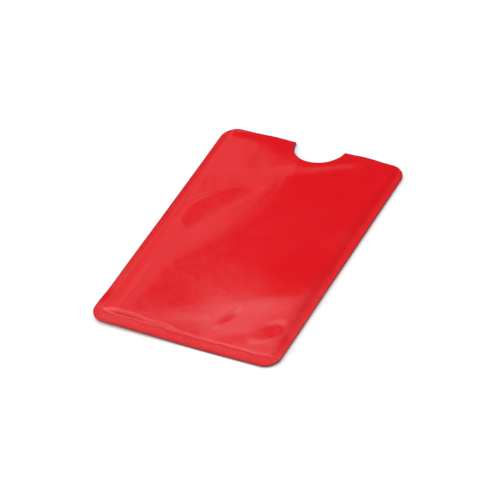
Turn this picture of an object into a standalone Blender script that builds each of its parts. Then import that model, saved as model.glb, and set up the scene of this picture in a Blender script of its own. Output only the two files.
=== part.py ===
"""Foil card sleeve: a front web and a back web, each laminated from three plies.

The two webs are heat sealed along both sides and across the closed end, and die cut together, so
that they share one outline with a thumb notch in the open end. The back web lies flat. The pocket
is raised in the front web. It takes one bank card of 85.6 x 54.0 x 0.76 mm.

The sleeve lies on its back: X runs across it, +Y points out of the mouth and +Z out of the front.
The origin is below the middle of the sleeve, on the plane that it rests on.
"""

import math

import bmesh
import bpy

MM = 0.001

# Die-cut outline
SLEEVE_WIDTH = 62 * MM
SLEEVE_LENGTH = 91 * MM
CORNER_RADIUS = 5 * MM
NOTCH_RADIUS = 8.3 * MM
NOTCH_DEPTH = 8.2 * MM
NOTCH_LIP_RADIUS = 0.4 * MM
NOTCH_OFFSET = 1.4 * MM  # the notch is cut a little to the right of the middle

# Heat seals, where the two webs are fused
SIDE_SEAL = 2.4 * MM
END_SEAL = 4.0 * MM
SEAL_CORNER_RADIUS = 3 * MM  # inner corners of the seals, at the closed end

# Plies of one web, from the outside in, and the adhesive between them
OUTER_FILM = 0.10 * MM
FOIL = 0.03 * MM
LINER = 0.08 * MM
ADHESIVE = 0.01 * MM
WELD_LINE = 0.01 * MM  # between the liners, which are two solids that only meet

# Pocket, raised in the front web
SHOULDER_RUN = 2.4 * MM
POCKET_DEPTH = 1.5 * MM
CROWN_HEIGHT = 0.4 * MM
CROWN_RISE = 22 * MM  # from the closed end to where the crown is full
LIP_RUN = 4 * MM  # stretch before the mouth where the front web turns down
LIP_DROP = 0.25 * MM

# How far the uncut webs and the cutting die run past the outline
TRIM = 3 * MM

# Points of a drawn curve closer than this are one point
SAME_POINT = 0.001 * MM

# Facets
CORNER_STEPS = 8
NOTCH_STEPS = 20
LIP_STEPS = 3
SHOULDER_STEPS = 7
CROWN_COLUMNS = 8
CROWN_ROWS = 10
LIP_ROWS = 2

# Finishes: base colour, roughness and metallic value
RED_FILM = ((0.73, 0.010, 0.016, 1), 0.14, 0.0)
BARE_FOIL = ((0.80, 0.80, 0.81, 1), 0.30, 1.0)
SEAL_LINER = ((0.62, 0.63, 0.65, 1), 0.35, 0.6)

WEB = OUTER_FILM + FOIL + LINER + 2 * ADHESIVE
MOUTH = SLEEVE_LENGTH / 2
POCKET_END = END_SEAL - SLEEVE_LENGTH / 2
POCKET_HALF_WIDTH = SLEEVE_WIDTH / 2 - SIDE_SEAL
WEB_EDGE_X = SLEEVE_WIDTH / 2 + TRIM
WEB_EDGE_Y = SLEEVE_LENGTH / 2 + TRIM


def clear_scene():
    for obj in list(bpy.data.objects):
        bpy.data.objects.remove(obj)


def collection_named(name):
    made = bpy.data.collections.new(name)
    bpy.context.scene.collection.children.link(made)
    return made


def material_of(name, finish):
    colour, roughness, metallic = finish
    made = bpy.data.materials.new(name)
    made.use_nodes = True
    shader = made.node_tree.nodes["Principled BSDF"]
    shader.inputs["Base Color"].default_value = colour
    shader.inputs["Roughness"].default_value = roughness
    shader.inputs["Metallic"].default_value = metallic
    return made


def arc(centre, radius, start, end, steps):
    """Points along an arc, its ends included. The angles are in degrees."""
    turns = [math.radians(start + (end - start) * i / steps) for i in range(steps + 1)]
    return [(centre[0] + radius * math.cos(t), centre[1] + radius * math.sin(t)) for t in turns]


def corner(side_x, side_y, start):
    """The rounded corner of the outline in one quarter of the sleeve."""
    x = side_x * (SLEEVE_WIDTH / 2 - CORNER_RADIUS)
    y = side_y * (SLEEVE_LENGTH / 2 - CORNER_RADIUS)
    return arc((x, y), CORNER_RADIUS, start, start + 90, CORNER_STEPS)


def notch():
    """The thumb notch from right to left: a rounded lip, the round cut and the other lip."""
    centre_y = MOUTH + NOTCH_RADIUS - NOTCH_DEPTH
    lip_y = MOUTH - NOTCH_LIP_RADIUS
    reach = NOTCH_RADIUS + NOTCH_LIP_RADIUS
    drop = centre_y - lip_y
    lip_x = math.sqrt(reach**2 - drop**2)
    meet = math.degrees(math.atan2(drop, lip_x))
    right = arc((NOTCH_OFFSET + lip_x, lip_y), NOTCH_LIP_RADIUS, 90, 180 - meet, LIP_STEPS)
    cut = arc((NOTCH_OFFSET, centre_y), NOTCH_RADIUS, -meet, meet - 180, NOTCH_STEPS)
    left = arc((NOTCH_OFFSET - lip_x, lip_y), NOTCH_LIP_RADIUS, meet, 90, LIP_STEPS)
    return right + cut[1:-1] + left


def outline():
    """The outline of the sleeve, anticlockwise from its lower right corner."""
    return corner(1, -1, -90) + corner(1, 1, 0) + notch() + corner(-1, 1, 90) + corner(-1, -1, 180)


def cutting_die(cutters):
    """A block with the outline of the sleeve, tall enough to cut both webs at once."""
    points = outline()
    curve = bpy.data.curves.new("outline", "CURVE")
    curve.dimensions = "2D"
    curve.fill_mode = "BOTH"
    curve.extrude = TRIM + WEB + POCKET_DEPTH + CROWN_HEIGHT
    spline = curve.splines.new("POLY")
    spline.points.add(len(points) - 1)
    for point, (x, y) in zip(spline.points, points):
        point.co = (x, y, 0, 1)
    spline.use_cyclic_u = True
    drawn = bpy.data.objects.new("outline", curve)
    cutters.objects.link(drawn)
    bpy.context.view_layer.update()
    graph = bpy.context.evaluated_depsgraph_get()
    mesh = bpy.data.meshes.new_from_object(drawn.evaluated_get(graph))
    bm = bmesh.new()
    bm.from_mesh(mesh)
    bmesh.ops.remove_doubles(bm, verts=bm.verts, dist=SAME_POINT)
    bmesh.ops.recalc_face_normals(bm, faces=bm.faces)
    bm.to_mesh(mesh)
    bm.free()
    die = bpy.data.objects.new("cutting_die", mesh)
    die.matrix_world = drawn.matrix_world
    bpy.data.objects.remove(drawn)
    cutters.objects.link(die)
    die.hide_render = True
    die.display_type = "WIRE"
    return die


def ease(share):
    """A smooth step from 0 to 1, level at both ends."""
    share = min(max(share, 0), 1)
    return share * share * (3 - 2 * share)


def inset(x, y):
    """How far a point lies inside the seals, whose corners at the closed end are round."""
    side = POCKET_HALF_WIDTH - abs(x)
    end = y - POCKET_END
    if max(side, end) >= SEAL_CORNER_RADIUS:
        return min(side, end)
    return SEAL_CORNER_RADIUS - math.hypot(SEAL_CORNER_RADIUS - side, SEAL_CORNER_RADIUS - end)


def rise(x, y):
    """How far the inside of the front web stands above the weld line."""
    shoulder = ease(inset(x, y) / SHOULDER_RUN)
    across = max(1 - (x / POCKET_HALF_WIDTH) ** 2, 0)
    along = ease((y - POCKET_END) / CROWN_RISE)
    lip = ease((y - MOUTH + LIP_RUN) / LIP_RUN)
    crown = (CROWN_HEIGHT - LIP_DROP * lip) * across * along
    return POCKET_DEPTH * shoulder + crown


def steps_between(start, end, count):
    return [start + (end - start) * i / count for i in range(count)]


def columns():
    """X of each grid line of the front web, close together over the two shoulders."""
    top = POCKET_HALF_WIDTH - max(SHOULDER_RUN, SEAL_CORNER_RADIUS)
    left = [-WEB_EDGE_X] + steps_between(-POCKET_HALF_WIDTH, -top, SHOULDER_STEPS)
    middle = steps_between(-top, top, CROWN_COLUMNS)
    return left + middle + [-x for x in (left + [-top])[::-1]]


def rows():
    """Y of each grid line of the front web, close together over the shoulder at the closed end."""
    top = POCKET_END + max(SHOULDER_RUN, SEAL_CORNER_RADIUS)
    shoulder = steps_between(POCKET_END, top, SHOULDER_STEPS)
    crown = steps_between(top, MOUTH - LIP_RUN, CROWN_ROWS)
    lip = steps_between(MOUTH - LIP_RUN, MOUTH, LIP_ROWS)
    return [-WEB_EDGE_Y] + shoulder + crown + lip + [MOUTH, WEB_EDGE_Y]


def web_surface(name, xs, ys, height):
    """The inside face of a web, uncut, as an open grid whose heights follow a rule."""
    bm = bmesh.new()
    bmesh.ops.create_grid(bm, x_segments=len(xs) - 1, y_segments=len(ys) - 1, size=1)
    for vert in bm.verts:
        x = xs[round((vert.co.x + 1) / 2 * (len(xs) - 1))]
        y = ys[round((vert.co.y + 1) / 2 * (len(ys) - 1))]
        vert.co = (x, y, height(x, min(y, MOUTH)))
    bmesh.ops.triangulate(bm, faces=bm.faces)  # so that neighbouring plies bend along the same lines
    mesh = bpy.data.meshes.new(name)
    bm.to_mesh(mesh)
    bm.free()
    return mesh


def ply(name, surface, depth, thickness, outward, finish, die, parts):
    """One ply: a shell at its own depth behind the web's inside face, cut out by the die.

    Outward is 1 where the web's outside is above its inside face, and -1 where it is below.
    """
    obj = bpy.data.objects.new(name, surface.copy())
    obj.data.name = name
    obj.data.materials.append(material_of(name, finish))
    parts.objects.link(obj)
    shell = obj.modifiers.new("thickness", "SOLIDIFY")
    shell.thickness = thickness
    shell.offset = outward * (2 * depth / thickness + 1)
    shell.use_even_offset = True
    cut = obj.modifiers.new("die cut", "BOOLEAN")
    cut.operation = "INTERSECT"
    cut.object = die
    return obj


def web(side, surface, outward, die, parts):
    """The three plies of a web, from the liner out."""
    layers = (
        ("liner", LINER, SEAL_LINER),
        ("foil", FOIL, BARE_FOIL),
        ("outer_film", OUTER_FILM, RED_FILM),
    )
    depth = 0
    for layer, thickness, finish in layers:
        ply(f"{side}_{layer}", surface, depth, thickness, outward, finish, die, parts)
        depth += thickness + ADHESIVE
    bpy.data.meshes.remove(surface)


def back_web(die, parts):
    """The flat web that the sleeve lies on."""
    xs = [-WEB_EDGE_X, WEB_EDGE_X]
    ys = [-WEB_EDGE_Y, WEB_EDGE_Y]
    web("back", web_surface("back_web", xs, ys, lambda x, y: WEB), -1, die, parts)


def front_web(die, parts):
    """The web with the pocket raised in it."""
    surface = web_surface("front_web", columns(), rows(), lambda x, y: WEB + WELD_LINE + rise(x, y))
    web("front", surface, 1, die, parts)


def main():
    clear_scene()
    parts = collection_named("card_sleeve")
    cutters = collection_named("cutters")
    die = cutting_die(cutters)
    back_web(die, parts)
    front_web(die, parts)


main()
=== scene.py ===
"""The looks of a foil card sleeve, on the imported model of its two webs."""

import math

import bmesh
import bpy
import numpy as np
from mathutils import Matrix, Vector, geometry, noise


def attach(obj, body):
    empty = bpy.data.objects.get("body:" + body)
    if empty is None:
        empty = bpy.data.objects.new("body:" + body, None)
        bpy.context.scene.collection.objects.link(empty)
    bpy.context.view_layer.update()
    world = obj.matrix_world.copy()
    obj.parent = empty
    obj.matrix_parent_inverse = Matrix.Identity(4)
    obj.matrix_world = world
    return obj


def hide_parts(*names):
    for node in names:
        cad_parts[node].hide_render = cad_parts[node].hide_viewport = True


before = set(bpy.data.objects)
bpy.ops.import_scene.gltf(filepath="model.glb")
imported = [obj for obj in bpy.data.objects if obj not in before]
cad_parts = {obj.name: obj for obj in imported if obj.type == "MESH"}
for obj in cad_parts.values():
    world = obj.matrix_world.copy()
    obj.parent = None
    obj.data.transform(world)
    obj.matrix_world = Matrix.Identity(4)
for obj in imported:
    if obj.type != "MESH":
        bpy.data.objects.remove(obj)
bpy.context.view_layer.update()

bl_info = {
    "name": "Foil card sleeve",
    "version": (1, 0, 0),
    "blender": (4, 5, 0),
    "location": "3D View > Sidebar > Card sleeve",
    "description": "Dresses a flat foil card sleeve: its six plies, their finishes and a small studio",
    "category": "Object",
}

MM = 0.001

# Outline of both webs, in millimetres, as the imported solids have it
HALF_WIDTH = 31.0
HALF_LENGTH = 45.5
CORNER_RADIUS = 5.0
NOTCH_CENTRE = (1.4, 45.6)
NOTCH_RADIUS = 8.3
NOTCH_LIP = 0.4

# Plies, outside to inside: depth of the outer face below the web's own, and thickness. The sealed height is
# that of both webs where they meet, with the joint between them.
OUTER_FILM = (0.0, 0.10)
FOIL = (0.11, 0.03)
SEALING_FILM = (0.15, 0.08)
SEALED_HEIGHT = 0.47

# Heat seals: their widths, the radius inside their corners, how much and how often their edges wander, and
# how wide the change of finish at their edges is
SIDE_SEAL = 2.4
END_SEAL = 4.0
SEAL_CORNER = 3.0
SIDE_WANDER = (0.20, 12.0)
END_WANDER = (0.50, 5.0)
SEAL_FADE = 0.6

# A band of smaller triangles where the pocket drops to the end seal, and their size
FINE_BAND = (-42.6, -39.2)
FINE_STEP = 0.2

# Where the webs part beside a seal: how wide the shoulder is, alone and for each millimetre of height, how
# round it is in the corners, and how steeply it starts. The back web's share changes between two y.
SIDE_START = 0.10
LEFT_ROLL = 3.2
RIGHT_ROLL = 3.0
END_START = 0.20
END_ROLL = 0.75
SHOULDER_CORNER = 1.0
SHOULDER_POWER = 1.7
END_BULGE_FADE = (-31.0, -39.0)

# The heat bar squeezes a low step along the end seal's inner edge: its height, where it rises and falls, and
# over what length it fades at its two ends
SQUEEZE_HEIGHT = 0.05
SQUEEZE_RISE = (-0.1, 0.6)
SQUEEZE_FALL = (0.8, 4.0)
SQUEEZE_ENDS = 1.5

# The die curls the rim up a little, and the sleeve lies on the table in two long waves, each with its
# height, its lengths across and along the sleeve, and its phase
RIM_CURL = 0.08
RIM_CURL_WIDTH = 3.0
WAVE_ACROSS = (0.035, 9.0, 14.0, 0.8)
WAVE_ALONG = (0.030, -19.0, 11.0, 2.0)

# The pocket's crest runs from the lower left to the notch. It stands at these x for these y.
CREST_X = (-20.0, 4.2)
CREST_Y = (-29.0, 29.0)

# Folds beside the crest: how far from it they start, how round they are, the slope each adds past its start,
# and the y where it begins to show and shows in full
LEFT_FOLDS = (
    dict(start=0.0, radius=2.5, slope=-0.040, shows=(-40.0, -29.0)),
    dict(start=0.0, radius=2.5, slope=-0.016, shows=(-22.0, -2.0)),
    dict(start=0.0, radius=2.5, slope=0.010, shows=(14.0, 28.0)),
    dict(start=11.5, radius=2.0, slope=0.030, shows=(28.0, 14.0)),
)
RIGHT_FOLDS = (
    dict(start=0.0, radius=1.3, slope=-0.035),
    dict(start=0.0, radius=1.3, slope=-0.018, shows=(8.0, -28.0)),
    dict(start=10.0, radius=5.0, slope=0.018, shows=(8.0, -28.0)),
    dict(start=8.0, radius=3.0, slope=0.009),
    dict(start=12.0, radius=3.0, slope=0.010, shows=(6.0, -14.0)),
    dict(start=20.0, radius=3.0, slope=0.010, shows=(6.0, -14.0)),
)

# The lower right falls away below a slanting line, and rises again to the right of it. Between two x the
# slope drops to the share that is kept.
SLANT_AT = (3.9, -27.2)
SLANT_RUN = 0.55
SLANT_FOLD = dict(radius=2.4, slope=-0.031, kept=0.65, fades=(2.0, 24.0))
LOW_RIGHT_FOLD = dict(start=2.0, radius=6.0, slope=0.014, shows=(6.0, -14.0))

# An arch across the middle, below which the web falls a little more: its top, how fast it drops to the
# sides, and the slopes that it adds on the right and on the left
ARCH_TOP = (5.0, -10.5)
ARCH_DROP = 0.011
ARCH_FOLD = dict(radius=1.6, slope=-0.017, left_slope=-0.002, fades=(8.0, -6.0))

# The front web falls to the mouth: slowly on the right, and in a last turned-down lip on the left
MOUTH_FOLD = dict(start=24.0, radius=4.0, slope=-0.030, shows=(-2.0, 8.0))
LIP_FOLD = dict(start=42.3, radius=0.5, slope=-0.10, shows=(12.0, -8.0))
RIM_FOLD = dict(start=42.0, radius=0.5, slope=-0.05)

# Across its middle the front web leans toward the mouth a little: where that starts and ends
LEAN_FOLD = dict(start=-18.0, radius=3.0, slope=-0.007)
LEVEL_FOLD = dict(start=1.0, radius=3.0, slope=0.007)
LENGTHWISE_FOLDS = (MOUTH_FOLD, LIP_FOLD, RIM_FOLD, LEAN_FOLD, LEVEL_FOLD)

# Unevenness all over the front: heights and sizes of the bumps. The least gap keeps the webs apart.
BUMPS = ((0.012, 14.0), (0.007, 7.0), (0.004, 4.0))
LEAST_GAP = 0.1

# Flat dents, each a patch of the web that is tipped on a pivot. It is tipped in full up to this share of the
# way to its border, and past this share of its half length it keeps its width. The third value keeps a
# division off zero at the patch's centre.
FACET_FULL = 0.9
TAPER_END = 1.2
LEAST_FAR = 0.01
LEAF_DENT = dict(
    at=(-17.6, 11.5), pivot=(-15.2, 12.2), turn=56.0, half=13.6, width=4.4, tilt=(-0.036, 0.014),
    bow=-2.7, taper=0.5, soft=(0.28, 0.12))
CORNER_DENT = dict(
    at=(22.8, -32.8), pivot=(22.8, -32.8), turn=53.0, half=4.4, width=2.4, tilt=(0.0, -0.027),
    soft=(0.36, 0.36))
NARROW_DENT = dict(
    at=(8.6, -31.8), pivot=(8.6, -31.8), turn=70.0, half=3.1, width=1.0, tilt=(0.0, -0.044),
    soft=(0.5, 0.5))
FACETS = (LEAF_DENT, CORNER_DENT, NARROW_DENT)

# Hollows, and ridges where the depth is negative, along bowed lines
LEAF_RIM = dict(at=(-10.6, 12.4), turn=64.0, half=11.0, left=2.2, right=6.0, depth=-0.14, bow=-0.8)
MOUTH_STREAK = dict(at=(-20.6, 35.0), turn=92.0, half=7.0, left=1.6, right=5.0, depth=-0.04)
MOUTH_HOLLOW = dict(at=(-12.0, 33.5), turn=75.0, half=3.4, left=2.8, right=3.4, depth=0.018)
NOTCH_CREASE = dict(at=(11.4, 41.6), turn=33.0, half=14.3, left=1.6, right=2.4, depth=-0.42, bow=0.8)
NOTCH_DROOP = dict(at=(-7.0, 45.6), turn=90.0, half=4.2, left=3.2, right=3.5, depth=0.5)
CREST_CREASE = dict(at=(-1.8, 26.6), turn=99.0, half=5.2, left=0.5, right=0.7, depth=-0.015, bow=0.6)
BROAD_RIDGE = dict(at=(12.0, -22.6), turn=29.0, half=10.0, left=9.0, right=3.2, depth=-0.27)
SPOT_HOLLOW = dict(at=(-2.0, -37.6), turn=22.0, half=5.0, left=1.8, right=3.0, depth=0.12)
LOWER_HOLLOW = dict(at=(13.5, -36.6), turn=35.0, half=3.6, left=2.0, right=2.0, depth=0.10)
DENTS = (
    LEAF_RIM, MOUTH_STREAK, MOUTH_HOLLOW, NOTCH_CREASE, NOTCH_DROOP, CREST_CREASE, BROAD_RIDGE, SPOT_HOLLOW,
    LOWER_HOLLOW)


def ease(t):
    """A smooth step from 0 to 1."""
    t = np.clip(t, 0.0, 1.0)
    return t * t * (3.0 - 2.0 * t)


def between(value, start, end):
    """How far a value has come from a start to an end, as a smooth step from 0 to 1."""
    return ease((value - start) / (end - start))


def bend(distance, radius):
    """Distance past a crease that is rounded over a radius, and nothing before it."""
    return radius * np.logaddexp(0.0, distance / radius)


def fold(distance, place, start, radius, slope, shows=None):
    """Height that a fold adds past its start. It may come in gradually between two places along it."""
    share = between(place, *shows) if shows else 1.0
    return slope * share * bend(distance - start, radius)


def turned(x, y, at, turn):
    """The same places as distances along and across a direction, in degrees, through a point."""
    angle = math.radians(turn)
    right, up = x - at[0], y - at[1]
    along = right * math.cos(angle) + up * math.sin(angle)
    across = up * math.cos(angle) - right * math.sin(angle)
    return along, across


def within(side, end, radius):
    """Distance inside a border whose corners are round."""
    corner = radius - np.hypot(np.maximum(radius - side, 0.0), np.maximum(radius - end, 0.0))
    return np.where(np.maximum(side, end) >= radius, np.minimum(side, end), corner)


def tapered(along, taper):
    """Share of its width that a patch has at a share of its half length."""
    return 1.0 - taper * np.clip(along, -TAPER_END, TAPER_END)


def dent(x, y, at, turn, half, left, right, depth, bow=0.0, taper=0.0):
    """A hollow along a bowed line, with its own width on each flank. A negative depth is a ridge."""
    along, across = turned(x, y, at, turn)
    across = across - bow * (along / half) ** 2
    width = np.where(across > 0.0, left, right) * tapered(along / half, taper)
    return -depth * np.exp(-0.5 * (across / width) ** 2 - 0.5 * np.abs(along / half) ** 3)


def ripple(x, y, size):
    """Soft unevenness between -1 and 1, with bumps about as wide as the size."""
    return np.array([noise.noise(Vector((a / size, b / size, size))) for a, b in zip(x, y)])


def facet(x, y, at, pivot, turn, half, width, tilt, soft, bow=0.0, taper=0.0):
    """A patch, oval along a bowed line, that is tipped on a pivot. The tilt is its slope each way."""
    along, across = turned(x, y, at, turn)
    across = across - bow * (along / half) ** 2
    reach = width * tapered(along / half, taper)
    far = np.hypot(along / half, across / reach)
    lean = np.clip(across / reach / np.maximum(far, LEAST_FAR), 0.0, 1.0)
    border = 2.0 * (soft[1] + (soft[0] - soft[1]) * lean)
    tipped = tilt[0] * (x - pivot[0]) + tilt[1] * (y - pivot[1])
    return ease((FACET_FULL + border - far) / border) * tipped


def seal_sides(x, y):
    """Distances inside the side seals and the end seal, whose edges wander a little."""
    side = HALF_WIDTH - SIDE_SEAL - np.abs(x) + SIDE_WANDER[0] * ripple(y, np.sign(x), SIDE_WANDER[1])
    end = y + HALF_LENGTH - END_SEAL + END_WANDER[0] * ripple(x, 0.0 * y, END_WANDER[1])
    return side, end


def seal_share(x, y):
    """1 on a heat seal and 0 off it, with a soft edge."""
    return 1.0 - ease(within(*seal_sides(x, y), SEAL_CORNER) / SEAL_FADE + 0.5)


def rim_distance(x, y):
    """Distance inside the die cut, without the notch."""
    return within(HALF_WIDTH - np.abs(x), HALF_LENGTH - np.abs(y), CORNER_RADIUS)


def cut_distance(x, y):
    """Distance inside the die cut, the notch included."""
    return np.minimum(rim_distance(x, y), np.hypot(x - NOTCH_CENTRE[0], y - NOTCH_CENTRE[1]) - NOTCH_RADIUS)


def crest_height(x, y, shape):
    """Room that the folds and dents leave between the webs, before the seals close it."""
    crest = CREST_X[0] + (CREST_X[1] - CREST_X[0]) * between(y, *CREST_Y)
    height = shape.crown / MM
    height = height + sum(fold(crest - x, y, **values) for values in LEFT_FOLDS)
    height = height + sum(fold(x - crest, y, **values) for values in RIGHT_FOLDS)
    below = SLANT_AT[1] + SLANT_RUN * (x - SLANT_AT[0]) - y
    kept = 1.0 - (1.0 - SLANT_FOLD["kept"]) * between(x, *SLANT_FOLD["fades"])
    height = height + SLANT_FOLD["slope"] * kept * bend(below, SLANT_FOLD["radius"])
    height = height + fold(x, y, **LOW_RIGHT_FOLD)
    under = ARCH_TOP[1] - ARCH_DROP * (x - ARCH_TOP[0]) ** 2 - y
    right, left = ARCH_FOLD["slope"], ARCH_FOLD["left_slope"]
    slope = right + (left - right) * between(x, *ARCH_FOLD["fades"])
    height = height + slope * bend(under, ARCH_FOLD["radius"])
    height = height + sum(fold(y, x, **values) for values in LENGTHWISE_FOLDS)
    height = height + shape.dents * sum(facet(x, y, **values) for values in FACETS)
    height = height + shape.dents * sum(dent(x, y, **values) for values in DENTS)
    height = height + sum(depth * ripple(x, y, size) for depth, size in BUMPS)
    return np.maximum(height, LEAST_GAP)


def pillow(x, y, shape):
    """Gap between the webs, and how far the back web is pulled up where the seals close them."""
    height = crest_height(x, y, shape)
    side, end = seal_sides(x, y)
    side_width = SIDE_START + np.where(x < 0.0, LEFT_ROLL, RIGHT_ROLL) * height
    end_width = END_START + END_ROLL * height
    climbed = np.clip(within(side / side_width, end / end_width, SHOULDER_CORNER), 0.0, 1.0)
    fullness = 1.0 - (1.0 - climbed) ** SHOULDER_POWER
    squeezed = SQUEEZE_HEIGHT * between(-end, *SQUEEZE_RISE) * (1.0 - between(-end, *SQUEEZE_FALL))
    back = shape.side_bulge + (shape.end_bulge - shape.side_bulge) * between(y, *END_BULGE_FADE)
    return height * fullness + squeezed * ease(side / SQUEEZE_ENDS), back * height * (1.0 - fullness)


def wave(x, y, height, across, along, phase):
    """A long soft wave that stays at or above the table."""
    return height * (1.0 + np.sin(x / across + y / along + phase))


def back_height(x, y, shape):
    """Height of the back web's outer face over the table."""
    curl = RIM_CURL * np.clip(1.0 - rim_distance(x, y) / RIM_CURL_WIDTH, 0.0, 1.0) ** 2
    return curl + pillow(x, y, shape)[1] + wave(x, y, *WAVE_ACROSS) + wave(x, y, *WAVE_ALONG)


def front_height(x, y, shape):
    """Height of the front web's outer face over the table."""
    return SEALED_HEIGHT + back_height(x, y, shape) + pillow(x, y, shape)[0]


# Points stay this share of a step off the cut, and those closer together than this, in millimetres, are one
EDGE_CLEARANCE = 0.6
SAME_POINT = 1e-5

# The small arcs at the notch's lips have steps of this share of the others
LIP_STEP_SHARE = 0.25


def arc(centre, radius, start, end, step):
    """Points along an arc, its first end included. Angles are in degrees."""
    count = max(2, round(abs(math.radians(end - start)) * radius / step))
    angles = [math.radians(start + (end - start) * i / count) for i in range(count)]
    return [(centre[0] + radius * math.cos(a), centre[1] + radius * math.sin(a)) for a in angles]


def run(start, end, step):
    """Points along a straight run, its first end included."""
    count = max(1, round(math.dist(start, end) / step))
    return [tuple(s + (e - s) * i / count for s, e in zip(start, end)) for i in range(count)]


def outline(step):
    """The die-cut outline, anticlockwise: three straight sides, and a mouth with a half-round notch."""
    side, end = HALF_WIDTH, HALF_LENGTH
    in_x, in_y = side - CORNER_RADIUS, end - CORNER_RADIUS
    lip_y = end - NOTCH_LIP
    reach = math.sqrt((NOTCH_RADIUS + NOTCH_LIP) ** 2 - (NOTCH_CENTRE[1] - lip_y) ** 2)
    tilt = math.degrees(math.atan2(NOTCH_CENTRE[1] - lip_y, reach))
    right_lip = (NOTCH_CENTRE[0] + reach, lip_y)
    left_lip = (NOTCH_CENTRE[0] - reach, lip_y)
    points = arc((in_x, in_y), CORNER_RADIUS, 0, 90, step)
    points += run((in_x, end), (right_lip[0], end), step)
    points += arc(right_lip, NOTCH_LIP, 90, 180 - tilt, step * LIP_STEP_SHARE)
    points += arc(NOTCH_CENTRE, NOTCH_RADIUS, -tilt, -180 + tilt, step)
    points += arc(left_lip, NOTCH_LIP, tilt, 90, step * LIP_STEP_SHARE)
    points += run((left_lip[0], end), (-in_x, end), step)
    points += arc((-in_x, in_y), CORNER_RADIUS, 90, 180, step)
    points += run((-side, in_y), (-side, -in_y), step)
    points += arc((-in_x, -in_y), CORNER_RADIUS, 180, 270, step)
    points += run((-in_x, -end), (in_x, -end), step)
    points += arc((in_x, -in_y), CORNER_RADIUS, 270, 360, step)
    points += run((side, -in_y), (side, in_y), step)
    return points


def lattice(step):
    """Staggered points all over the web, kept off its cut edge, and closer together in the fine band."""
    points = []
    for rows, pitch in ((np.arange(-HALF_LENGTH, HALF_LENGTH, step * math.sqrt(0.75)), step),
                        (np.arange(*FINE_BAND, FINE_STEP), 2.0 * FINE_STEP)):
        for number, y in enumerate(rows):
            if pitch == step and FINE_BAND[0] < y < FINE_BAND[1]:
                continue
            x = np.arange(-HALF_WIDTH, HALF_WIDTH, pitch) + 0.5 * pitch * (number % 2)
            points += [(a, y) for a in x[cut_distance(x, y) > EDGE_CLEARANCE * step]]
    return points


def web_mesh(side, step, height, facing_up):
    """A web's outer face as one mesh of small triangles, which carries where its rim and its seals are."""
    rim = outline(step)
    loose = [Vector(p) for p in rim + lattice(step)]
    flat, _, faces, _, _, _ = geometry.delaunay_2d_cdt(loose, [], [list(range(len(rim)))], 1, SAME_POINT)
    places = np.array([tuple(p) for p in flat])
    x, y = places[:, 0], places[:, 1]
    points = np.column_stack([x, y, height(x, y)]) * MM
    if not facing_up:
        faces = [tuple(reversed(face)) for face in faces]
    mesh = bpy.data.meshes.new(side + "_face")
    mesh.from_pydata(points.tolist(), [], faces)
    mesh.update()
    for name, values in (("rim", cut_distance(x, y)), ("seal", seal_share(x, y))):
        mesh.attributes.new(name, "FLOAT", "POINT").data.foreach_set("value", values)
    return mesh


# Geometry nodes: the tree's name, the distance in metres within which it welds points, and from what angle
# an edge is sharp
PLY_TREE = "Ply under a face"
WELD = 1e-7
CUT_ANGLE = math.radians(50)


def node(tree, kind, inputs=None, **settings):
    """Adds one node with its settings, values and links."""
    made = tree.nodes.new(kind)
    for name, value in settings.items():
        setattr(made, name, value)
    for name, value in (inputs or {}).items():
        if isinstance(value, bpy.types.NodeSocket):
            tree.links.new(value, made.inputs[name])
        else:
            made.inputs[name].default_value = value
    return made


def ply_tree():
    """Geometry nodes that turn a web's outer face into one closed ply under it."""
    tree = bpy.data.node_groups.new(PLY_TREE, "GeometryNodeTree")
    tree.interface.new_socket("Face", in_out="INPUT", socket_type="NodeSocketGeometry")
    tree.interface.new_socket("Depth", in_out="INPUT", socket_type="NodeSocketFloat")
    tree.interface.new_socket("Thickness", in_out="INPUT", socket_type="NodeSocketFloat")
    tree.interface.new_socket("Finish", in_out="INPUT", socket_type="NodeSocketMaterial")
    tree.interface.new_socket("Ply", in_out="OUTPUT", socket_type="NodeSocketGeometry")
    given = node(tree, "NodeGroupInput").outputs
    normal = node(tree, "GeometryNodeInputNormal").outputs["Normal"]
    bottom = node(tree, "ShaderNodeMath", {0: given["Depth"], 1: given["Thickness"]}, operation="ADD")
    kept = node(tree, "GeometryNodeCaptureAttribute", {"Geometry": given["Face"]}, domain="POINT")
    kept.capture_items.new("VECTOR", "Normal")
    tree.links.new(normal, kept.inputs["Normal"])
    across = kept.outputs["Normal"]
    down = node(tree, "ShaderNodeVectorMath", {0: across, "Scale": bottom.outputs[0]}, operation="SCALE")
    under = node(tree, "ShaderNodeVectorMath", {0: down.outputs[0], "Scale": -1.0}, operation="SCALE")
    inner = node(tree, "GeometryNodeSetPosition", {
        "Geometry": kept.outputs["Geometry"], "Offset": under.outputs[0]})
    raised = node(tree, "GeometryNodeExtrudeMesh", {
        "Mesh": inner.outputs[0], "Offset Scale": 0.0, "Individual": False})
    up = node(tree, "ShaderNodeVectorMath", {0: across, "Scale": given["Thickness"]}, operation="SCALE")
    outer = node(tree, "GeometryNodeSetPosition", {
        "Geometry": raised.outputs["Mesh"], "Selection": raised.outputs["Top"], "Offset": up.outputs[0]})
    floor = node(tree, "GeometryNodeFlipFaces", {"Mesh": inner.outputs[0]})
    both = node(tree, "GeometryNodeJoinGeometry")
    tree.links.new(outer.outputs[0], both.inputs[0])
    tree.links.new(floor.outputs[0], both.inputs[0])
    welded = node(tree, "GeometryNodeMergeByDistance", {"Geometry": both.outputs[0], "Distance": WELD})
    real = node(tree, "GeometryNodeRealizeInstances", {"Geometry": welded.outputs[0]})
    done = node(tree, "GeometryNodeSetMaterial", {"Geometry": real.outputs[0], "Material": given["Finish"]})
    node(tree, "NodeGroupOutput", {"Ply": done.outputs[0]})
    return tree


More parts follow.
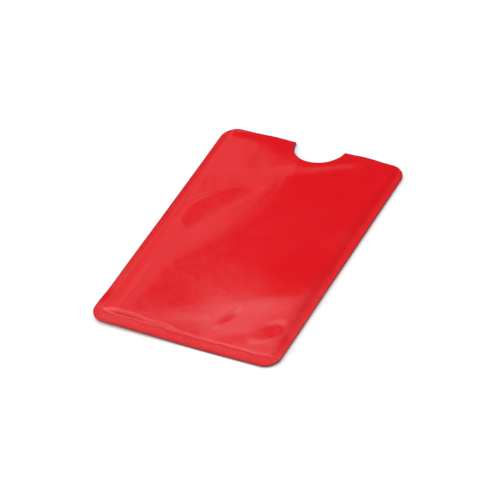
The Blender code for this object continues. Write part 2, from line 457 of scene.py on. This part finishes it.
def ply(name, face, tree, layer, finish, replaced):
    """One ply of a web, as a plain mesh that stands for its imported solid."""
    maker = bpy.data.objects.new(name + "_maker", face)
    bpy.context.collection.objects.link(maker)
    modifier = maker.modifiers.new("Ply", "NODES")
    modifier.node_group = tree
    keys = {item.name: item.identifier for item in tree.interface.items_tree}
    modifier[keys["Depth"]] = layer[0] * MM
    modifier[keys["Thickness"]] = layer[1] * MM
    modifier[keys["Finish"]] = finish
    seen = maker.evaluated_get(bpy.context.evaluated_depsgraph_get())
    mesh = bpy.data.meshes.new_from_object(seen)
    mesh.name = name
    bpy.data.objects.remove(maker)
    if not mesh.polygons:
        raise RuntimeError(f"{name} came out empty")
    mesh.shade_smooth()
    mesh.set_sharp_from_angle(angle=CUT_ANGLE)
    piece = bpy.data.objects.new(name, mesh)
    bpy.context.collection.objects.link(piece)
    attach(piece, "root")
    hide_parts(replaced)


def linear(code):
    """A colour from its sRGB hex code."""
    parts = [int(code[i:i + 2], 16) / 255.0 for i in (1, 3, 5)]
    return tuple(p / 12.92 if p <= 0.04045 else ((p + 0.055) / 1.055) ** 2.4 for p in parts)


def empty_material(name):
    """A material with its nodes cleared, ready for a finish."""
    material = bpy.data.materials.new(name)
    material.use_nodes = True
    material.node_tree.nodes.clear()
    return material


def attribute(tree, name):
    """A value that the web's mesh carries."""
    return node(tree, "ShaderNodeAttribute", attribute_name=name).outputs["Fac"]


def spread(tree, value, low, high, start, end):
    """A value spread from one range over another, and held at its ends."""
    return node(tree, "ShaderNodeMapRange", {
        "Value": value, "From Min": low, "From Max": high, "To Min": start, "To Max": end}).outputs["Result"]


def times(tree, one, other):
    """Two values multiplied."""
    return node(tree, "ShaderNodeMath", {0: one, 1: other}, operation="MULTIPLY").outputs[0]


def plus(tree, one, other):
    """Two values added."""
    return node(tree, "ShaderNodeMath", {0: one, 1: other}, operation="ADD").outputs[0]


def grain(tree, place, size, detail=2.0, rough=0.5):
    """Soft noise between 0 and 1, with grains of a size in millimetres."""
    return node(tree, "ShaderNodeTexNoise", {
        "Vector": place, "Scale": 1 / (size * MM), "Detail": detail, "Roughness": rough}).outputs["Fac"]


def tinted(tree, share, first, second):
    """A colour between two others. Each is a colour or a socket."""
    mix = node(tree, "ShaderNodeMix", {0: share}, data_type="RGBA")
    for name, colour in (("A", first), ("B", second)):
        socket = [s for s in mix.inputs if s.name == name and s.type == "RGBA"][0]
        if isinstance(colour, bpy.types.NodeSocket):
            tree.links.new(colour, socket)
        else:
            socket.default_value = (*colour, 1.0)
    return [s for s in mix.outputs if s.type == "RGBA"][0]


def bumped(tree, height, depth, under=None):
    """A bump of a height pattern that is a depth in millimetres, over another bump."""
    inputs = {"Height": height, "Strength": 1.0, "Distance": depth * MM}
    if under:
        inputs["Normal"] = under
    return node(tree, "ShaderNodeBump", inputs).outputs["Normal"]


# Names of the finishes, each made once and shared
RED_POLYESTER = "Printed polyester film, red gloss"
ROLLED_FOIL = "Rolled aluminium foil"
CAST_POLYETHYLENE = "Cast polyethylene sealing film"

# Grains on the printed film: their sizes and depths in millimetres, and how fine and how rough they get
INK_CLOUD = dict(size=7.0, detail=3.0)
GLOSS_CLOUD = dict(size=4.0, detail=4.0)
SEAL_PIT = dict(size=1.1, detail=3.0, rough=0.65)
SCUFF = dict(size=0.7, detail=4.0, rough=0.7)
CRINKLE = dict(size=3.2)
CRINKLE_DEPTH = 0.035
PIT_DEPTH = 0.03

# How the printed film answers to its grains: between which two values, and what it is at each
CHIPPED = (0.58, 0.72, 0.0, 0.7)
PITTED = (0.45, 0.7, 0.0, 0.35)
DULLED = (0.35, 0.65, 0.03, 0.12)
GLOSS_FROM = (0.3, 0.7)
GLOSS_RISE = 0.05
SCUFF_DULLING = 0.25

# Between which distances from the cut the printed film is darkened and scuffed, and how much at each. The
# dark band is crushed film and painted shade at the rim; the scuffs are wear.
CRUSHED_AND_SHADE = (0.05, 0.4, 0.75, 0.0)
SCUFFED = (0.1, 1.3, 1.0, 0.0)

# The foil's rolling lines. Real ones are a tenth as wide, too fine for a pixel, so they are drawn broader.
ROLL_LINE_WIDTH = 0.3
ROLL_LINE_LENGTH = 12.0
ROLL_LINE_DEPTH = 0.003
ROLL_LINE_DETAIL = 3.0
FOIL_CLOUD = dict(size=9.0, detail=3.0)
FOIL_GLOSS = (0.2, 0.8, 0.2, 0.38)
CUT_DULLING = 0.25

# Grains on the sealing film, and how rough its haze makes it
FILM_CLOUD = dict(size=5.0, detail=4.0)
FILM_HAZE = dict(size=2.5, detail=3.0)
FILM_GLOSS = (0.3, 0.7, 0.34, 0.46)
FILM_GRAIN = dict(size=0.6)
FILM_GRAIN_DEPTH = 0.006

# How metallic the sealing film looks off the cut and at the cut
FILM_METAL = (0.7, 0.1)

# Between which distances from the cut the foil and the sealing film turn from a painted grey shade, which
# darkens the rim, to their own tone
CUT_SHADE = (0.05, 0.5, 1.0, 0.0)

POLYESTER_IOR = 1.49


def red_polyester(looks):
    """Polyester film, reverse printed in red and laminated to the foil.

    The hard smooth film gives crisp window-like shines over an even, slightly clouded ink. It crinkles a
    little with the foil, the heat bars leave the seal pitted and duller, and along the cut a dark line of
    crushed film and painted rim shade is drawn, with small pale scuffs.
    """
    material = empty_material(RED_POLYESTER)
    tree = material.node_tree
    place = node(tree, "ShaderNodeTexCoord").outputs["Object"]
    rim, seal = attribute(tree, "rim"), attribute(tree, "seal")
    pits = grain(tree, place, **SEAL_PIT)
    chips = spread(tree, grain(tree, place, **SCUFF), *CHIPPED)
    scuffs = times(tree, spread(tree, rim, *SCUFFED), chips)
    ink = tinted(tree, grain(tree, place, **INK_CLOUD), looks.ink, looks.ink_clouds)
    ink = tinted(tree, times(tree, seal, spread(tree, pits, *PITTED)), ink, looks.ink_pits)
    ink = tinted(tree, scuffs, ink, looks.ink_scuffs)
    # a dark band along the cut and on the cut faces: crushed film and painted shade at the rim
    ink = tinted(tree, spread(tree, rim, *CRUSHED_AND_SHADE), ink, looks.ink_crushed_and_shade)
    clouds = grain(tree, place, **GLOSS_CLOUD)
    gloss = spread(tree, clouds, *GLOSS_FROM, looks.gloss, looks.gloss + GLOSS_RISE)
    duller = times(tree, seal, spread(tree, pits, *DULLED))
    gloss = plus(tree, gloss, plus(tree, duller, times(tree, scuffs, SCUFF_DULLING)))
    crinkled = bumped(tree, grain(tree, place, **CRINKLE), CRINKLE_DEPTH)
    pitted = bumped(tree, times(tree, seal, pits), PIT_DEPTH, crinkled)
    shader = node(tree, "ShaderNodeBsdfPrincipled", {
        "Base Color": ink, "Roughness": gloss, "Normal": pitted, "IOR": POLYESTER_IOR})
    node(tree, "ShaderNodeOutputMaterial", {"Surface": shader.outputs["BSDF"]})
    return material


def rolled_foil(looks):
    """Aluminium foil, bright rolled.

    Fine lines along the roll give a soft streaked shine, which is dull at the cut. At the cut the foil is
    painted grey, as painted shade that darkens the rim.
    """
    material = empty_material(ROLLED_FOIL)
    tree = material.node_tree
    place = node(tree, "ShaderNodeTexCoord").outputs["Object"]
    width, length = 1 / (ROLL_LINE_WIDTH * MM), 1 / (ROLL_LINE_LENGTH * MM)
    rolled = node(tree, "ShaderNodeMapping", {"Vector": place, "Scale": (width, length, width)}).outputs[0]
    lines = node(tree, "ShaderNodeTexNoise", {
        "Vector": rolled, "Scale": 1.0, "Detail": ROLL_LINE_DETAIL}).outputs["Fac"]
    cut = spread(tree, attribute(tree, "rim"), *CUT_SHADE)
    tone = tinted(tree, grain(tree, place, **FOIL_CLOUD), looks.foil, looks.foil_clouds)
    # painted grey shade at the cut and on the cut faces, which darkens the rim
    tone = tinted(tree, cut, tone, looks.foil_cut_shade)
    gloss = plus(tree, spread(tree, lines, *FOIL_GLOSS), times(tree, cut, CUT_DULLING))
    shader = node(tree, "ShaderNodeBsdfPrincipled", {
        "Base Color": tone, "Metallic": 1.0, "Roughness": gloss,
        "Normal": bumped(tree, lines, ROLL_LINE_DEPTH)})
    node(tree, "ShaderNodeOutputMaterial", {"Surface": shader.outputs["BSDF"]})
    return material


def cast_polyethylene(looks):
    """Cast polyethylene film on the foil.

    The metal shows through its waxy haze as a cloudy silver, with a painted grey shade at the cut that
    darkens the rim.
    """
    material = empty_material(CAST_POLYETHYLENE)
    tree = material.node_tree
    place = node(tree, "ShaderNodeTexCoord").outputs["Object"]
    cut = spread(tree, attribute(tree, "rim"), *CUT_SHADE)
    tone = tinted(tree, grain(tree, place, **FILM_CLOUD), looks.film, looks.film_clouds)
    # painted grey shade at the cut and on the cut faces, which darkens the rim
    tone = tinted(tree, cut, tone, looks.film_cut_shade)
    gloss = spread(tree, grain(tree, place, **FILM_HAZE), *FILM_GLOSS)
    shader = node(tree, "ShaderNodeBsdfPrincipled", {
        "Base Color": tone, "Metallic": spread(tree, cut, 0.0, 1.0, *FILM_METAL), "Roughness": gloss,
        "Normal": bumped(tree, grain(tree, place, **FILM_GRAIN), FILM_GRAIN_DEPTH)})
    node(tree, "ShaderNodeOutputMaterial", {"Surface": shader.outputs["BSDF"]})
    return material


def shared_finish(name, make, looks):
    """A finish that several plies share, made once."""
    return bpy.data.materials.get(name) or make(looks)


def length(name, description, millimetres):
    """A size that the user can change."""
    return bpy.props.FloatProperty(
        name=name, description=description, default=millimetres * MM, min=0.0, unit="LENGTH", precision=5)


def portion(name, description, default):
    """A share that the user can change."""
    return bpy.props.FloatProperty(
        name=name, description=description, default=default, min=0.0, soft_max=1.0, subtype="FACTOR")


def colour(name, description, code):
    """A colour that the user can change, given as sRGB."""
    return bpy.props.FloatVectorProperty(
        name=name, description=description, default=linear(code), size=3, min=0.0, max=1.0, subtype="COLOR")


def brightness(name, description, default):
    """A lamp's brightness that the user can change."""
    return bpy.props.FloatProperty(name=name, description=description, default=default, min=0.0)


class SleeveShape(bpy.types.PropertyGroup):
    """Sizes of the pillowed webs"""
    crown: length("Crown", "Room between the webs at the crest of the pocket", 1.87)
    side_bulge: portion("Side bulge", "Share of the height that the back web takes along the sides", 0.18)
    end_bulge: portion("End bulge", "Share of the height that the back web takes at the closed end", 0.45)
    dents: portion("Dents", "Depth of the dents, hollows and creases, where 1 is as photographed", 1.0)
    step: length("Facet", "Distance between neighbouring points of a web", 0.5)


class SleeveLooks(bpy.types.PropertyGroup):
    """Colours and gloss of the plies"""
    ink: colour("Ink", "Print colour of the outer film", "#D80B16")
    ink_clouds: colour("Ink clouds", "Print colour where the ink lies a little thinner", "#E00D19")
    ink_pits: colour("Seal pits", "Print colour in the pits of the heat seals", "#B90A12")
    ink_scuffs: colour("Scuffs", "Film where the cut edge is scuffed", "#E2444B")
    # dark red painted along the cut and on the cut faces, as crushed film and painted rim shade
    ink_crushed_and_shade: colour("Crushed line", "Film that the die crushed along the cut", "#7C0B10")
    gloss: portion("Film roughness", "Roughness of the outer film, where 0 is a mirror", 0.12)
    foil: colour("Foil", "Aluminium foil", "#DADBDD")
    foil_clouds: colour("Foil clouds", "Foil where it is brighter", "#E8E9EA")
    # grey painted at the cut, as shade that darkens the rim
    foil_cut_shade: colour("Foil cut", "Foil where it is cut", "#6F7276")
    film: colour("Sealing film", "Inside of the pocket", "#B9BBBE")
    film_clouds: colour("Sealing film clouds", "Inside of the pocket where it is brighter", "#CBCDCF")
    # dark grey painted at the cut, as shade that darkens the rim
    film_cut_shade: colour("Sealing film cut", "Sealing film where it is cut", "#5C5557")


class StageSettings(bpy.types.PropertyGroup):
    """Brightness of the studio's lamps and the colour of its floor"""
    side_panel: brightness("Side panel", "Soft panel on the left", 0.83)
    top_panel: brightness("Top panel", "Soft panel overhead", 1.6)
    low_lamp: brightness("Low lamp", "Low lamp on the left, which throws the shadow to the right", 7.0)
    ambient: brightness("Ambient", "Room around the panels", 0.10)
    floor: colour("Floor", "Paper under the sleeve", "#FFFFFF")


def build_web(context, side, height, facing_up):
    """The three plies of one web, from one shared outer face."""
    shape, looks = context.scene.sleeve_shape, context.scene.sleeve_looks
    if bpy.data.objects.get(side + "_printed_film"):
        raise RuntimeError(f"The {side} web is already built")
    face = web_mesh(side, shape.step / MM, lambda x, y: height(x, y, shape), facing_up)
    tree = bpy.data.node_groups.get(PLY_TREE) or ply_tree()
    red = shared_finish(RED_POLYESTER, red_polyester, looks)
    foil = shared_finish(ROLLED_FOIL, rolled_foil, looks)
    film = shared_finish(CAST_POLYETHYLENE, cast_polyethylene, looks)
    ply(side + "_printed_film", face, tree, OUTER_FILM, red, side + "_outer_film")
    ply(side + "_foil_core", face, tree, FOIL, foil, side + "_foil")
    ply(side + "_sealing_film", face, tree, SEALING_FILM, film, side + "_liner")
    bpy.data.meshes.remove(face)


class SLEEVE_OT_front_web(bpy.types.Operator):
    """Build the front web: red film, foil and sealing film, pillowed and dented"""
    bl_idname = "sleeve.front_web"
    bl_label = "Front web"

    def execute(self, context):
        build_web(context, "front", front_height, True)
        return {"FINISHED"}


class SLEEVE_OT_back_web(bpy.types.Operator):
    """Build the back web: red film, foil and sealing film, lying on the table"""
    bl_idname = "sleeve.back_web"
    bl_label = "Back web"

    def execute(self, context):
        build_web(context, "back", back_height, False)
        return {"FINISHED"}


# Floor, in metres: a disc just under the sleeve. A share of its look is plain white near the sleeve, and all
# of it far out, so its rim never shows.
FLOOR_RADIUS = 6.0
FLOOR_DROP = 0.05 * MM
FLOOR_CORNERS = 96
FLOOR_WHITE_NEAR = 0.15
FLOOR_WHITE_FROM = (0.6, 1.8)

# Soft panels: place, the point each faces and size in metres, and its share of a brightness setting. The
# side panel is in pieces, dimmer toward the floor, with a dim strip and then a lighter one toward the back,
# like a window beside its frame. The low lamp throws the shadow and isn't mirrored in the film.
PANELS = (
    dict(name="Side panel", at=(-0.974, 0.224, 1.375), aim=(0.0, 0.0, 1.375), size=(1.37, 1.25),
         setting="side_panel", share=1.0),
    dict(name="Side skirt", at=(-0.974, 0.224, 0.625), aim=(0.0, 0.0, 0.625), size=(1.37, 0.25),
         setting="side_panel", share=0.6),
    dict(name="Side foot", at=(-0.974, 0.224, 0.35), aim=(0.0, 0.0, 0.35), size=(1.37, 0.30),
         setting="side_panel", share=0.3),
    dict(name="Side feather", at=(-0.761, 0.907, 1.25), aim=(0.0, 0.0, 1.25), size=(0.083, 1.50),
         setting="side_panel", share=0.6),
    dict(name="Side edge", at=(-0.708, 0.949, 1.25), aim=(0.0, 0.0, 1.25), size=(0.054, 1.50),
         setting="side_panel", share=0.85),
    dict(name="Low lamp", at=(-1.38, -0.64, 0.49), aim=(0.0, 0.0, 0.0), size=(0.8, 0.45),
         setting="low_lamp", share=1.0, mirrored=False),
    dict(name="Top panel", at=(0.0, -0.12, 1.3), aim=(0.0, -0.12, 0.0), size=(3.2, 1.76),
         setting="top_panel", share=1.0),
    dict(name="Top feather", at=(0.0, 0.86, 1.3), aim=(0.0, 0.86, 0.0), size=(3.2, 0.20),
         setting="top_panel", share=0.6),
)

# Camera, in metres: its place, its right and up, its lens and sensor in millimetres, and what it can see
CAMERA_AT = (0.4081, -0.6173, 0.6717)
CAMERA_RIGHT = (0.8843, 0.4503, -0.1236)
CAMERA_UP = (-0.2270, 0.6458, 0.7290)
CAMERA_LENS = 240.52
CAMERA_SENSOR = 36.0
CAMERA_CLIP = (0.01, 50.0)


def soft_panel(settings, name, at, aim, size, setting, share, mirrored=True):
    """A rectangular lamp of even brightness that faces a point."""
    radiance = share * getattr(settings, setting)
    data = bpy.data.lights.new(name, "AREA")
    data.shape = "RECTANGLE"
    data.size, data.size_y = size
    data.energy = radiance * math.pi * size[0] * size[1]
    lamp = bpy.data.objects.new(name, data)
    lamp.location = at
    lamp.rotation_euler = (Vector(aim) - Vector(at)).to_track_quat("-Z", "Y").to_euler()
    lamp.visible_glossy = mirrored
    bpy.context.collection.objects.link(lamp)


def floor_material(code):
    """Matt white paper. It keeps the sleeve's shadow, and is white enough by itself to look plain."""
    material = empty_material("Matt white paper")
    tree = material.node_tree
    path = node(tree, "ShaderNodeLightPath").outputs
    seen = path["Is Camera Ray"]
    for kind in ("Is Glossy Ray", "Is Transmission Ray"):
        seen = node(tree, "ShaderNodeMath", {0: seen, 1: path[kind]}, operation="MAXIMUM").outputs[0]
    place = node(tree, "ShaderNodeTexCoord").outputs["Object"]
    away = node(tree, "ShaderNodeVectorMath", {0: place}, operation="LENGTH").outputs["Value"]
    white = times(tree, seen, spread(tree, away, *FLOOR_WHITE_FROM, FLOOR_WHITE_NEAR, 1.0))
    paper = node(tree, "ShaderNodeBsdfDiffuse", {"Color": (*code, 1.0)})
    plain = node(tree, "ShaderNodeEmission", {"Color": (*code, 1.0), "Strength": 1.0})
    mix = node(tree, "ShaderNodeMixShader", {0: white, 1: paper.outputs[0], 2: plain.outputs[0]})
    node(tree, "ShaderNodeOutputMaterial", {"Surface": mix.outputs[0]})
    return material


def build_floor(code):
    """A wide round floor just under the sleeve."""
    disc = bmesh.new()
    bmesh.ops.create_circle(disc, cap_ends=True, segments=FLOOR_CORNERS, radius=FLOOR_RADIUS)
    for point in disc.verts:
        point.co.z = -FLOOR_DROP
    mesh = bpy.data.meshes.new("Floor")
    disc.to_mesh(mesh)
    disc.free()
    mesh.materials.append(floor_material(code))
    floor = bpy.data.objects.new("Floor", mesh)
    bpy.context.collection.objects.link(floor)


def build_camera(scene):
    """The photograph's viewing angle."""
    data = bpy.data.cameras.new("Camera")
    data.lens = CAMERA_LENS
    data.sensor_width = CAMERA_SENSOR
    data.clip_start, data.clip_end = CAMERA_CLIP
    camera = bpy.data.objects.new("Camera", data)
    right, up = Vector(CAMERA_RIGHT).normalized(), Vector(CAMERA_UP).normalized()
    turn = Matrix((right, up, right.cross(up))).transposed()
    camera.matrix_world = Matrix.Translation(CAMERA_AT) @ turn.to_4x4()
    scene.collection.objects.link(camera)
    scene.camera = camera


class SLEEVE_OT_stage(bpy.types.Operator):
    """Set up the white floor, the soft panels and the camera"""
    bl_idname = "sleeve.stage"
    bl_label = "Studio"

    def execute(self, context):
        scene, settings = context.scene, context.scene.sleeve_stage
        if bpy.data.objects.get("Floor"):
            raise RuntimeError("The studio is already set up")
        build_floor(settings.floor)
        for panel in PANELS:
            soft_panel(settings, **panel)
        world = bpy.data.worlds.new("Room")
        world.use_nodes = True
        room = world.node_tree.nodes["Background"].inputs
        room["Color"].default_value = (1.0, 1.0, 1.0, 1.0)
        room["Strength"].default_value = settings.ambient
        scene.world = world
        scene.view_settings.view_transform = "Standard"
        build_camera(scene)
        return {"FINISHED"}


class SLEEVE_PT_panel(bpy.types.Panel):
    """Lists the sleeve's webs and its studio"""
    bl_label = "Card sleeve"
    bl_idname = "SLEEVE_PT_panel"
    bl_space_type = "VIEW_3D"
    bl_region_type = "UI"
    bl_category = "Card sleeve"

    def draw(self, context):
        scene = context.scene
        for settings, kind, operators in (
                (scene.sleeve_shape, SleeveShape, ()),
                (scene.sleeve_looks, SleeveLooks, ("sleeve.back_web", "sleeve.front_web")),
                (scene.sleeve_stage, StageSettings, ("sleeve.stage",))):
            box = self.layout.box()
            for name in kind.__annotations__:
                box.prop(settings, name)
            for operator in operators:
                box.operator(operator)


CLASSES = (SleeveShape, SleeveLooks, StageSettings, SLEEVE_OT_back_web, SLEEVE_OT_front_web, SLEEVE_OT_stage,
           SLEEVE_PT_panel)


def register():
    """Adds the sleeve's classes and its settings."""
    for kind in CLASSES:
        bpy.utils.register_class(kind)
    bpy.types.Scene.sleeve_shape = bpy.props.PointerProperty(type=SleeveShape)
    bpy.types.Scene.sleeve_looks = bpy.props.PointerProperty(type=SleeveLooks)
    bpy.types.Scene.sleeve_stage = bpy.props.PointerProperty(type=StageSettings)


def unregister():
    """Takes the sleeve's classes and its settings away again."""
    del bpy.types.Scene.sleeve_stage
    del bpy.types.Scene.sleeve_looks
    del bpy.types.Scene.sleeve_shape
    for kind in reversed(CLASSES):
        bpy.utils.unregister_class(kind)


def main():
    """Builds the sleeve and its studio."""
    register()
    bpy.ops.sleeve.back_web()
    bpy.ops.sleeve.front_web()
    bpy.ops.sleeve.stage()


if __name__ == "__main__":
    main()
